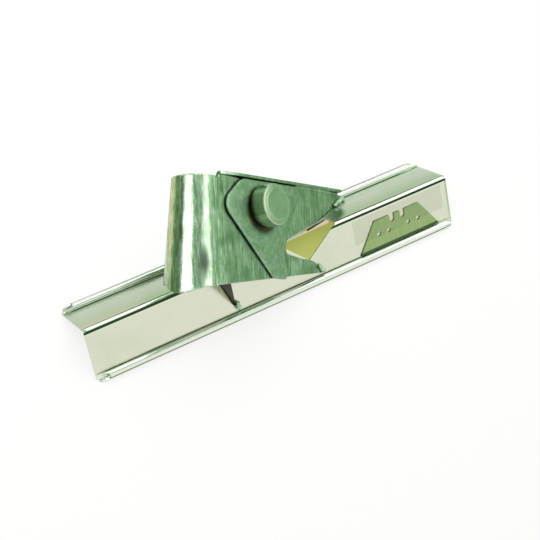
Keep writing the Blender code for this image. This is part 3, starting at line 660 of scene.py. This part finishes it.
def buildHandle(cutter):
    # flat strip as ruled patches between its edge lines, bent by curlPoint, thickened and trimmed to the roof
    depth, centre = strip["throatDepth"], strip["throatCentre"]
    shareNear, shareFar = np.linspace(0, 1, 22), np.linspace(0, 1, 34)
    nearSide, farSide = throatSides()
    nearTip, farTip = nearSide[-1, 1], farSide[-1, 1]
    outerNear = np.array([(nearEdge(depth), depth), (nearEdge(nearTip), nearTip)])
    fenceFront = farCorner[1] + strip["fenceSetback"]
    fenceCorner = np.array([farEdge(fenceFront), fenceFront])
    outerFar = np.array([(farEdge(depth), depth), fenceCorner, runOn(fenceCorner, farCorner, farTip)])
    farRows = resample(outerFar, 60)
    farRows[np.argmin(np.abs(farRows[:, 1] - fenceFront))] = fenceCorner
    left, right, along = stripRows()
    leftRow, rightRow = np.stack([left, along], -1), np.stack([right, along], -1)
    middleRow = np.stack([np.clip(np.full_like(along, centre), left, right), along], -1)
    flats = [between(resample(outerNear, 44), resample(nearSide, 44), shareNear),
             between(resample(farSide, 60), farRows, shareFar),
             between(leftRow, middleRow, shareNear), between(middleRow, rightRow, shareFar)]
    # the last two end in the curl, so they are faced by their first quad
    patches = [gridPatch(curlPoint(flat[..., 0], flat[..., 1], 0.0), outAxis, share)
               for flat, share in zip(flats, (0.5, 0.5, 0, 0))]
    rows = along[along <= strip["fenceEnd"]]
    patches.append(fencePatch(np.concatenate([farRows[farRows[:, 1] >= fenceFront - 1e-6][::-1],
                                              np.stack([farEdge(rows), rows], -1)[1:]])))
    piece = newPiece("handle_strip", patches, 4e-6)
    thicken(piece, strip["sheet"], even=True)
    swing = np.linspace(0, 2 * np.pi, 49)[:-1]
    drill = makeCutter("screw_drill", [[latheAbout(strip["hole"], level, swing) for level in strip["drill"]]])
    cutWith(piece, cutter)
    cutWith(piece, drill)
    softenEdges(piece, strip["edge"], 50, 50)
    bpy.data.objects.remove(drill)
    return finishPiece(piece, "frame", zincStrip, "handle")


roof = roofCutter()
handlePiece = buildHandle(roof)
print("handle:", len(handlePiece.data.polygons), "faces")


# strut

strut = dict(foot=-33.5, slant=25.64, sheet=1.4, nearGap=4.0, farGap=5.4, topNear=-21.5, topFar=10.0, seat=0.3,
             edge=0.15)


def buildStrut(cutter):
    # a flat sheet ruled between its two side edges, in the plane x = foot + lean (y - z)
    lean = math.tan(math.radians(strut["slant"]))
    level = np.array([lean, 1, 0]) / math.hypot(lean, 1)
    face = np.array([1, -lean, lean]) / math.sqrt(1 + 2 * lean * lean)
    climb = np.cross(face, level)
    base = ridgePoint + np.array([strut["foot"], 0, 0])

    def topPoint(place):
        start = np.dot([strut["foot"] - bed["foot"], 0, 0], outAxis) + strip["sheet"] + strut["seat"]
        return np.array([place, -(start + place * level.dot(outAxis)) / climb.dot(outAxis)])

    nearFoot = onFlange(-1, beadInner - strut["nearGap"], level, climb, face)
    farFoot = onFlange(1, beadInner - strut["farGap"], level, climb, face)
    low = min(nearFoot[1], farFoot[1]) - rail["bead"]
    edges = [resample([runOn(top, foot, low), top], 20)
             for top, foot in ((topPoint(strut["topNear"]), nearFoot), (topPoint(strut["topFar"]), farFoot))]
    flat = between(edges[0], edges[1], np.linspace(0, 1, 16))
    points = (base + flat[..., 0:1] * level + flat[..., 1:2] * climb) * mm
    piece = newPiece("rear_strut_plate", [gridPatch(points, face)])
    thicken(piece, strut["sheet"])
    cutWith(piece, cutter)
    softenEdges(piece, strut["edge"], 40, 45)
    finishPiece(piece, "frame", zincStrut, "rear_strut")
    # all but the back face takes the painted shade
    piece.data.materials.append(paintedShadeStrut)
    normals = np.empty(len(piece.data.polygons) * 3)
    piece.data.polygons.foreach_get("normal", normals)
    shadedFaces = normals.reshape(-1, 3) @ face > -0.5
    piece.data.polygons.foreach_set("material_index", shadedFaces.astype(np.int32))
    return piece


strutPiece = buildStrut(roof)
bpy.data.objects.remove(roof)
print("strut:", len(strutPiece.data.polygons), "faces")


# clamp plate

clamp = dict(sheet=1.6, tilt=0.45, seat=0.12, near=25.4, nose=5.5, setback=4.3, bow=3.0, toe=10.7, shoulder=51.9,
             heel=69.2, heelInset=1.0, corner=3.0, shoulderRadius=11.0, heelRadius=8.0, fenceGap=0.45, hole=3.4,
             bevel=0.75, droop=0.35, droopStart=54.0, step=1.5)


def roundedLoop(corners, steps=10):
    # a closed outline whose corners (x, y, radius) become arcs
    points, count = [], len(corners)
    for i, (x, y, radius) in enumerate(corners):
        here = np.array([x, y])
        before = np.array(corners[i - 1][:2]) - here
        after = np.array(corners[(i + 1) % count][:2]) - here
        lengths = np.linalg.norm(before), np.linalg.norm(after)
        before, after = before / lengths[0], after / lengths[1]
        half = math.acos(np.clip(before.dot(after), -1, 1)) / 2
        reach = min(radius / math.tan(half), 0.48 * lengths[0], 0.48 * lengths[1])
        radius = reach * math.tan(half)
        hub = here + (before + after) / np.linalg.norm(before + after) * (radius / math.sin(half))
        first, last = here + before * reach - hub, here + after * reach - hub
        swing = math.atan2(first[0] * last[1] - first[1] * last[0], first.dot(last)) * np.linspace(0, 1, steps)
        points.append(hub + np.stack([first[0] * np.cos(swing) - first[1] * np.sin(swing),
                                      first[0] * np.sin(swing) + first[1] * np.cos(swing)], -1))
    return np.concatenate(points)


def clampLift(along):
    # height of the tilted plate's under face over the bed
    return clamp["seat"] + (along + clamp["nose"]) * math.tan(math.radians(clamp["tilt"]))


def buildClamp():
    # flat ring ruled from the screw hole to the rounded outline, tilted up at its heel
    near, nose, shoulder, bow, corner = (clamp[k] for k in ("near", "nose", "shoulder", "bow", "corner"))
    front = strip["throatDepth"] + clamp["setback"]
    beside = strip["fenceBend"] - clamp["fenceGap"]
    centre, width = strip["throatCentre"], strip["throatWidth"]
    outline = roundedLoop([
        (-near, front - bow, corner), (centre - width / 4, front, corner), (centre + width * 0.75, front - bow, corner),
        (farEdge(-nose) + beside, -nose, corner), (farEdge(shoulder) + beside, shoulder, clamp["shoulderRadius"]),
        (screw["across"] - clamp["heelInset"], clamp["heel"], clamp["heelRadius"]),
        (-near, front + clamp["toe"], corner)])
    outline = np.concatenate([outline, outline[:1]])
    sides = [np.linspace(a, b, max(2, int(np.linalg.norm(b - a) / clamp["step"]) + 1), endpoint=False)
             for a, b in zip(outline, outline[1:])]
    outline = np.concatenate(sides + [outline[:1]])
    hub = np.array([screw["across"], screw["along"]])
    spoke = outline - hub
    hole = spoke / np.linalg.norm(spoke, axis=1, keepdims=True) * clamp["hole"] + hub
    flat = between(hole, outline, np.linspace(0, 1, 14) ** 0.9)
    # the tumbled heel droops by a fraction of a millimetre
    toHeel = np.clip((flat[..., 1] - clamp["droopStart"]) / (clamp["heel"] - clamp["droopStart"]), 0, 1)
    height = clampLift(flat[..., 1]) + clamp["sheet"] - clamp["droop"] * toHeel ** 2
    piece = newPiece("clamp_cap", [gridPatch(bedToWorld(flat[..., 0], flat[..., 1], height), outAxis)])
    thicken(piece, clamp["sheet"])
    softenEdges(piece, clamp["bevel"], 50, 50, segments=5)
    return finishPiece(piece, "clamp", zincClamp, "clamp_plate")


clampPiece = buildClamp()
print("clamp:", len(clampPiece.data.polygons), "faces")


# thumb screw and nut

knob = dict(radius=12.25, height=10.2, face=8.7, step=0.22, stepWidth=0.6, edge=0.5, topRound=1.0, ridges=80,
            ridgeDepth=0.4, ridgeFade=0.45, neck=1.2, end=2.0, tip=1.0, tipCut=0.9)
nut = dict(height=5.0, half=5.0, face=5.05, lip=0.05, cone=1.7)
nutTop = -strip["sheet"] - clearance
nutLow = nutTop - nut["height"]


def buildScrew():
    # profile turned about the screw's line: low raised face, flat ring, soft shoulder, knurled side, plain shank
    seat = clampLift(screw["along"] + knob["radius"]) + clamp["sheet"] + clearance
    top = seat + knob["height"]
    r, e, t, shank = knob["radius"], knob["edge"], knob["topRound"], screw["diameter"] / 2
    low = nutLow - knob["end"]
    quarter = np.radians(np.linspace(0, 90, 13))
    ease = np.linspace(0, 1, 12)
    step = knob["step"] * (3 * ease ** 2 - 2 * ease ** 3)
    brow = top - knob["step"]
    profile = np.concatenate([
        np.stack([np.linspace(0, knob["face"], 14), np.full(14, top)], -1),
        np.stack([knob["face"] + knob["stepWidth"] * ease, top - step], -1)[1:],
        np.stack([r - t + t * np.sin(quarter), brow - t + t * np.cos(quarter)], -1)[1:],
        np.stack([np.full(10, r), np.linspace(brow - t, seat + e, 12)[1:-1]], -1),
        np.stack([r - e + e * np.cos(quarter), seat + e - e * np.sin(quarter)], -1),
        np.array([(shank + knob["neck"], seat), (shank + 0.02, seat - 0.02), (shank, seat - 0.2), (shank, 0.0),
                  (shank, low + knob["tip"]), (shank - knob["tipCut"], low), (0, low)])])
    swing = np.linspace(0, 2 * np.pi, knob["ridges"] * 6 + 1)
    side = np.clip((profile[:, 0] - (r - knob["ridgeFade"])) / knob["ridgeFade"], 0, 1)
    tooth = np.abs(((swing * knob["ridges"] / (2 * np.pi)) % 1) * 2 - 1)
    radius = profile[:, 0:1] - knob["ridgeDepth"] * side[:, None] * tooth
    points = latheAbout(radius, profile[:, 1:2], swing)
    # poles and the seam are merged; a quad of the top face sets the way out
    piece = newPiece("knurled_thumb_screw", [gridPatch(points, outAxis, 0.06)], 3e-6)
    bakeModifiers(piece, 55)
    return finishPiece(piece, "thumb_screw", knobSteel, "thumb_screw")


def buildNut():
    # hexagon r = half / cos(angle from the flat), cut back by a cone at both faces
    swing = np.linspace(0, 2 * np.pi, 97)
    hexagon = nut["half"] / np.cos((swing % (np.pi / 3)) - np.pi / 6)
    height = np.concatenate([[nutTop, nutTop], np.linspace(nutTop, nutLow, 24), [nutLow, nutLow, nutTop]])
    limit = nut["face"] + np.minimum(nutTop - height, height - nutLow) * nut["cone"]
    radius = np.minimum(hexagon[None, :], limit[:, None])
    radius[[1, -3]] = np.minimum(hexagon, nut["face"]) - nut["lip"]
    radius[[0, -2, -1]] = screw["diameter"] / 2 + clearance
    points = latheAbout(radius, height[:, None], swing)
    piece = newPiece("hex_nut", [gridPatch(points, outAxis, 0.004)], 3e-6)
    bakeModifiers(piece, 35)
    return finishPiece(piece, "frame", knobSteel, "clamp_nut")


screwPiece = buildScrew()
nutPiece = buildNut()
print("screw and nut:", len(screwPiece.data.polygons), len(nutPiece.data.polygons), "faces")


# blade and tape

def buildBlade():
    # trapezoid sheet: half length grows evenly from the back to the edge; the bevel thins it to an eighth
    low, high = blade["seat"], blade["seat"] + blade["sheet"]
    middle, thin = (low + high) / 2, blade["sheet"] / 16
    edge, back, bevel = blade["edge"], blade["edge"] - blade["width"], blade["edge"] - blade["bevel"]
    down = np.array([back, bevel, edge, edge, bevel, back, back])
    out = np.array([high, high, middle + thin, middle - thin, low, low, high])
    taper = (blade["backLength"] - blade["edgeLength"]) * (edge - down) / blade["width"]
    half = (blade["edgeLength"] + taper) / 2
    boxLow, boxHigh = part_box("blade")
    place = (boxLow.x + boxHigh.x) / 2 / mm
    share = np.linspace(-1, 1, 40)
    skin = flangeToWorld(-1, down[:, None], place + half[:, None] * share, out[:, None])
    patches = [gridPatch(skin, (0, -diag, diag), 0.1)]
    for end in (0, -1):
        cap = np.stack([skin[:3, end], skin[5:2:-1, end]], 1)
        patches.append(gridPatch(cap, (share[end], 0, 0), 0))
    piece = newPiece("trapezoid_blade", patches, 1e-6)
    # holes, then notches that run out past the back
    turn = np.linspace(0, 2 * np.pi, 33)[:-1]
    holeLine = edge - blade["holeRise"] + blade["hole"] * np.cos(turn)
    rings = [(holeLine, place + k * blade["holePitch"] + blade["hole"] * np.sin(turn)) for k in (-2, -1, 1, 2)]
    r, past = blade["notchWidth"] / 2, back - blade["notchPast"]
    turn = np.linspace(-np.pi / 2, np.pi / 2, 17)
    notchLine = np.concatenate([[past], back + blade["notchDepth"] - r + r * np.cos(turn), [past]])
    notchSide = np.concatenate([[-r], r * np.sin(turn), [r]])
    rings += [(notchLine, place + k * blade["notchPitch"] + notchSide) for k in (-0.5, 0.5)]
    punch = makeCutter("blade_punch", [[flangeToWorld(-1, *ring, level) for level in blade["punch"]] for ring in rings])
    cutWith(piece, punch)
    bakeModifiers(piece, 12)
    bpy.data.objects.remove(punch)
    return finishPiece(piece, "frame", bladeSteel, "blade")


bladePiece = buildBlade()
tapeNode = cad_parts["blade_tape"]
tapeNode.data.materials.clear()
tapeNode.data.materials.append(tapeFilm)
print("blade:", len(bladePiece.data.polygons), "faces")


# weld beads

weld = dict(swell=1.25, ripple=0.1, lump=0.2, pitch=1.6, droop=5, crescent=0.9, longLumps=5.1, shortLumps=9.7,
            shortShare=0.7)


def buildWeld(nodeName, phase):
    # a run along the weld's line: radius = half width, closed by (1 - s^droop)^0.5, rippled in crescents, lumpy
    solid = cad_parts[nodeName].data
    corners = np.empty(len(solid.vertices) * 3)
    solid.vertices.foreach_get("co", corners)
    corners = np.unique(corners.reshape(-1, 3).round(7), axis=0)
    centre = corners.mean(0)
    axes = np.linalg.svd(corners - centre, full_matrices=False)[2]
    if np.linalg.det(axes) < 0:
        axes[2] *= -1
    reach = np.ptp((corners - centre) @ axes.T, axis=0) / 2
    s = np.sin(np.linspace(-np.pi / 2, np.pi / 2, 90))[:, None]
    swing = np.linspace(0, 2 * np.pi, 41)[None, :]
    crescents = np.cos(2 * np.pi * s * reach[0] / (weld["pitch"] * mm) + weld["crescent"] * np.cos(swing - phase)
                       + phase)
    lumps = (np.sin(weld["longLumps"] * s + phase + np.cos(swing))
             + weld["shortShare"] * np.sin(weld["shortLumps"] * s - 2 * phase + np.sin(swing)))
    radius = reach[1] * weld["swell"] * np.sqrt(np.clip(1 - np.abs(s) ** weld["droop"], 0, 1))
    radius = radius * (1 + weld["ripple"] * crescents + weld["lump"] * lumps)
    points = (centre + (s * reach[0])[..., None] * axes[0] + (radius * np.cos(swing))[..., None] * axes[1]
              + (radius * np.sin(swing))[..., None] * axes[2])
    piece = newPiece(nodeName + "_bead", [gridPatch(points, points[44, 20] - centre)])
    bakeModifiers(piece, 80)
    return finishPiece(piece, "frame", weldSteel, nodeName)


weldNames = ("front_weld_near", "front_weld_far", "strut_weld_near", "strut_weld_far", "strut_weld_top")
weldPieces = [buildWeld(nodeName, 1.3 * k) for k, nodeName in enumerate(weldNames)]
print("welds:", len(weldPieces))


# studio

studio = dict(boxLow=(-1.1, -0.15), boxHigh=(1.0, 1.6), boxHeight=1.0, boxLevel=2.0, gripLevel=3.6, ridgeLevel=1.6,
              bandLevel=2.4, creamLevel=1.2, ambient=0.4)


def pageWhite(tree, surface, share, tint=(1, 1, 1, 1)):
    # white page for what looks straight at it, in a mirror or through glass; share keeps some of the real shading
    path = addNode(tree, "ShaderNodeLightPath", {}, {}).outputs
    either = combine(tree, "MAXIMUM", path["Is Camera Ray"], path["Is Glossy Ray"])
    either = combine(tree, "MAXIMUM", either, path["Is Transmission Ray"])
    page = addNode(tree, "ShaderNodeEmission", {}, {"Color": tint, "Strength": 1.0}).outputs[0]
    mixed = addNode(tree, "ShaderNodeMixShader", {}, {0: combine(tree, "MULTIPLY", either, share), 1: surface, 2: page})
    return mixed.outputs[0]


def layPaper(name, corners, height, tint, share, page):
    # a sheet of paper on the ground
    mesh = bpy.data.meshes.new(name)
    mesh.from_pydata([(x, y, height) for x, y in corners], [], [(0, 1, 2, 3)])
    paper = newObject(name, mesh)
    material, tree, shader = newMaterial(name)
    fillInputs(tree, shader, {"Base Color": linearColor(tint), "Roughness": 0.9, "Specular IOR Level": 0.0})
    mixed = pageWhite(tree, shader.outputs[0], share, linearColor(page))
    fillInputs(tree, tree.nodes["Material Output"], {"Surface": mixed})
    mesh.materials.append(material)


def hangCard(name, points, tint, level=1.0):
    # a lit card that only shiny surfaces see, as a product photographer sets round bright metal
    card = newPiece(name, [gridPatch(np.asarray(points, float), (0, 0, 0))])
    material, tree, shader = newMaterial(name)
    tree.nodes.remove(shader)
    glow = addNode(tree, "ShaderNodeEmission", {}, {"Color": linearColor(tint), "Strength": level})
    fillInputs(tree, tree.nodes["Material Output"], {"Surface": glow.outputs[0]})
    card.data.materials.append(material)
    card.visible_camera = card.visible_diffuse = card.visible_shadow = card.visible_transmission = False


def flatCard(low, high, height):
    return [[(x, y, height) for y in (low[1], high[1])] for x in (low[0], high[0])]


def sideCard(x, start, end, top):
    return [[(x, y, z) for z in (0, top)] for y in (start, end)]


def wallCard(radius, start, end, low, high):
    # part of an upright ring round the tool, angles in degrees
    turn = np.radians(np.linspace(start, end, 40))[:, None]
    rise = np.array([low, high])[None, :]
    return np.stack(np.broadcast_arrays(radius * np.cos(turn), radius * np.sin(turn), rise), -1)


def softBox(name, low, high, height, level):
    # level is the lamp's own brightness, where 1 is page white; the cards give the highlights
    light = bpy.data.lights.new(name, "AREA")
    light.shape = "RECTANGLE"
    light.size, light.size_y = high[0] - low[0], high[1] - low[1]
    light.energy = level * math.pi * light.size * light.size_y
    lamp = newObject(name, light)
    lamp.location = ((low[0] + high[0]) / 2, (low[1] + high[1]) / 2, height)
    lamp.visible_camera = lamp.visible_glossy = False


def buildWorld():
    world = bpy.data.worlds.new("studio_world")
    bpy.context.scene.world = world
    world.use_nodes = True
    tree = world.node_tree
    ambient = tree.nodes["Background"]
    fillInputs(tree, ambient, {"Color": (1, 1, 1, 1), "Strength": studio["ambient"]})
    fillInputs(tree, tree.nodes["World Output"], {"Surface": pageWhite(tree, ambient.outputs[0], 1.0)})


layPaper("pale_paper_floor", [(-6, -6), (6, -6), (6, 6), (-6, 6)], 0.0, "#F4F3EE", 0.75, "#FFFFFF")
# under the mouth: yellow paper whose olive tone is partly its own colour and partly painted shade, a cream margin
# painted as lit ground, and a dark line on its far side painted as shadow
layPaper("yellow_paper_under_mouth", [(-0.008, -0.031), (0.068, -0.031), (0.068, 0.008), (-0.008, 0.008)],
         0.0002, "#D6DC84", 0.6, "#BDC66A")
layPaper("painted_lit_margin_under_mouth", [(0.0214, -0.0026), (0.0513, -0.0019), (0.0535, 0.006), (0.0214, 0.006)],
         0.0003, "#F0E4CC", 0.75, "#EADCC0")
layPaper("painted_shadow_line_under_mouth", [(0.0352, -0.0017), (0.0494, 0.0004), (0.0507, 0.006), (0.035, 0.006)],
         0.0004, "#3A300C", 0.6, "#2E2606")
buildWorld()
softBox("overhead_soft_box", studio["boxLow"], studio["boxHigh"], studio["boxHeight"], studio["boxLevel"])

# overhead: two bright bands on the grip and the bright ridge, green between them
gripCard = [[(-0.2, 0.14, 1), (-0.4, -0.26, 1)], [(-1.0, 0.54, 1), (-1.2, 0.15, 1)]]
hangCard("left_overhead_white_card", gripCard, "#FFFFFF", studio["gripLevel"])
hangCard("right_overhead_white_card", flatCard((0.25, -0.15), (1.1, 1.6), 1.0), "#FFFFFF", studio["ridgeLevel"])
hangCard("middle_overhead_white_card", flatCard((0.03, 0.03), (0.25, 1.6), 1.0), "#FFFFFF", studio["ridgeLevel"])
hangCard("overhead_green_card", flatCard((-0.3, -0.37), (1.1, 1.2), 1.02), "#93B096")
hangCard("right_white_card", wallCard(1.35, -36, 4, 0.36, 1.7), "#FFFFFF", studio["bandLevel"])
# round the tool: what the bed, the grip's left edge and the far flange mirror
hangCard("right_green_card", sideCard(0.34, -0.24, 0.22, 0.165), "#A2CBA2")
hangCard("left_olive_card", sideCard(-0.32, -0.3, 0.4, 0.16), "#6E8C60")
hangCard("left_cream_card", flatCard((-0.2, 0.055), (-0.065, 0.145), 0.0008), "#FFE4D2", studio["creamLevel"])
hangCard("back_pale_green_card", flatCard((-0.35, 0.045), (0.45, 0.5), 0.0006), "#BEDDAE")
hangCard("back_dark_wall", wallCard(1.5, 54, 76, 0.24, 0.95), "#3E4C40")
hangCard("left_dark_wall", wallCard(1.5, 140, 180, 0.52, 1.15), "#5C7060")
# the beads' outer sides mirror the dark of the gap under them
nearBead, farBead = railLow.y, railHigh.y
hangCard("near_bead_shadow", flatCard((-0.13, nearBead - 0.007), (0.13, nearBead + 0.001), 0.0006), "#848C50")
hangCard("far_bead_shadow", flatCard((-0.13, farBead - 0.001), (0.13, farBead + 0.007), 0.0006), "#6F9A62")

# camera, fitted to the photo
cameraView = dict(place=(-0.31043, -0.23142, 0.67664), turn=(26.323, -13.164, -30.380), lens=85.3, sensor=36)
camera = newObject("photo_camera", bpy.data.cameras.new("photo_camera"))
camera.location = cameraView["place"]
camera.rotation_euler = Euler([math.radians(a) for a in cameraView["turn"]], "XYZ")
camera.data.lens = cameraView["lens"]
camera.data.sensor_width = cameraView["sensor"]
camera.data.clip_start = 0.01
bpy.context.scene.camera = camera
bpy.context.scene.view_settings.view_transform = "Standard"
print("studio and camera ready")
